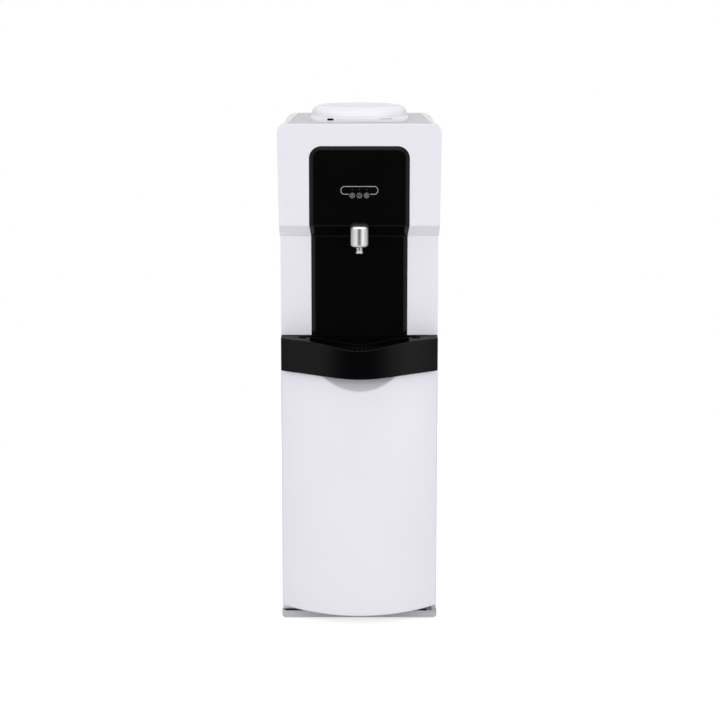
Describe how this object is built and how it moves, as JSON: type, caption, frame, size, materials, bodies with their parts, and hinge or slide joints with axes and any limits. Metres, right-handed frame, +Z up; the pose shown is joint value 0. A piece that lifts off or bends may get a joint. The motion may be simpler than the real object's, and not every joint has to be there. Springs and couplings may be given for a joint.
{
  "type": "water dispenser",
  "caption": "Free-standing top-loading water dispenser: bottle collar, black front with nozzle and push buttons, bowed drip tray and a bowed storage door.",
  "frame": {"origin": "on the floor, midway across the width and midway along the overall depth", "axes": "+Z up; the front with the nozzle and the door faces -Y; +X is to the right for a person facing the front"},
  "size_m": [0.3186, 0.368, 1.0275],
  "materials": {
    "white_gloss": "gloss",
    "cover_grey": "satin",
    "white_liner": "satin",
    "black_gloss": "gloss",
    "black_plastic": "matte",
    "plinth_grey": "satin",
    "white_steel": "satin",
    "galvanised": "satin",
    "stainless": "satin",
    "bright_metal": "polished",
    "outline_grey": "satin",
    "copper": "satin",
    "black_steel": "satin",
    "black_rubber": "matte",
    "grey_rubber": "matte",
    "silicone": "satin",
    "foam": "matte",
    "wool": "matte",
    "valve_white": "satin",
    "spike_blue": "satin",
    "board_green": "satin",
    "rocker_green": "gloss",
    "rocker_red": "gloss"
  },
  "bodies": {
    "cabinet": {"base_plinth": "plinth_grey", "feet": "black_rubber", "base_plate": "galvanised", "side_panel_left": "white_steel", "side_panel_right": "white_steel", "cabinet_liner": "white_liner", "deck_plate": "galvanised", "tank_shelf": "galvanised", "rear_panel": "galvanised", "rear_screws": "galvanised", "head_casing": "white_gloss", "mid_casing": "white_gloss", "front_panel": "black_gloss", "top_cover": "cover_grey", "seat_gasket": "grey_rubber", "cold_tank": "stainless", "separator_disc": "valve_white", "evaporator_coil": "copper", "tank_foam": "foam", "hot_tank": "stainless", "hot_tank_jacket": "wool", "hot_tank_stand": "galvanised", "heating_element": "stainless", "thermostats": "black_plastic", "solenoid_valves": "valve_white", "valve_bracket": "galvanised", "outlet_manifold": "valve_white", "nozzle_body": "bright_metal", "nozzle_tip": "bright_metal", "water_hoses": "silicone", "drain_hose": "silicone", "drain_outlet": "valve_white", "compressor": "black_steel", "compressor_grommets": "black_rubber", "relay_box": "black_plastic", "condenser_tube": "black_steel", "condenser_wires": "black_steel", "filter_dryer": "copper", "refrigerant_lines": "copper", "control_board": "board_green", "button_outline": "outline_grey", "tray_housing": "black_gloss", "hinge_brackets": "galvanised", "magnet_catch": "white_liner", "switch_housings": "black_plastic", "cord_gland": "black_plastic"},
    "door": {"door_outer": "white_gloss", "door_liner": "white_liner", "door_gasket": "grey_rubber", "strike_plate": "galvanised"},
    "bottle_seat_unit": {"bottle_seat": "white_gloss", "water_spike": "spike_blue"},
    "tray": {"drip_tray": "black_plastic"},
    "grille": {"drip_grille": "black_plastic"},
    "cold_button": {"button_cold": "black_gloss"},
    "ambient_button": {"button_ambient": "black_gloss"},
    "hot_button": {"button_hot": "black_gloss"},
    "cold_rocker": {"rocker_cold": "rocker_green"},
    "hot_rocker": {"rocker_hot": "rocker_red"},
    "drain_plug": {"drain_cap": "black_rubber"}
  },
  "joints": [
    {"name": "door_hinge", "type": "hinge", "parent": "cabinet", "child": "door", "pos_m": [0.1485, -0.114, 0.27], "axis": [0, 0, 1], "range_deg": [0, 110]},
    {"name": "seat_lift", "type": "slide", "parent": "cabinet", "child": "bottle_seat_unit", "axis": [0, 0, 1], "range_m": [0, 0.06]},
    {"name": "tray_lift", "type": "slide", "parent": "cabinet", "child": "tray", "axis": [0, 0, 1], "range_m": [0, 0.06]},
    {"name": "grille_lift", "type": "slide", "parent": "tray", "child": "grille", "axis": [0, 0, 1], "range_m": [0, 0.03]},
    {"name": "cold_press", "type": "slide", "parent": "cabinet", "child": "cold_button", "axis": [0, 1, 0], "range_m": [0, 0.0015], "stiffness_N_per_m": 400, "springref_m": -0.001},
    {"name": "ambient_press", "type": "slide", "parent": "cabinet", "child": "ambient_button", "axis": [0, 1, 0], "range_m": [0, 0.0015], "stiffness_N_per_m": 400, "springref_m": -0.001},
    {"name": "hot_press", "type": "slide", "parent": "cabinet", "child": "hot_button", "axis": [0, 1, 0], "range_m": [0, 0.0015], "stiffness_N_per_m": 400, "springref_m": -0.001},
    {"name": "cold_switch", "type": "hinge", "parent": "cabinet", "child": "cold_rocker", "pos_m": [0.07, 0.1658, 0.9365], "axis": [-1, 0, 0], "range_deg": [0, 16]},
    {"name": "hot_switch", "type": "hinge", "parent": "cabinet", "child": "hot_rocker", "pos_m": [0.1, 0.1658, 0.9365], "axis": [-1, 0, 0], "range_deg": [0, 16]},
    {"name": "drain_pull", "type": "slide", "parent": "cabinet", "child": "drain_plug", "axis": [0, 1, 0], "range_m": [0, 0.012]}
  ]
}
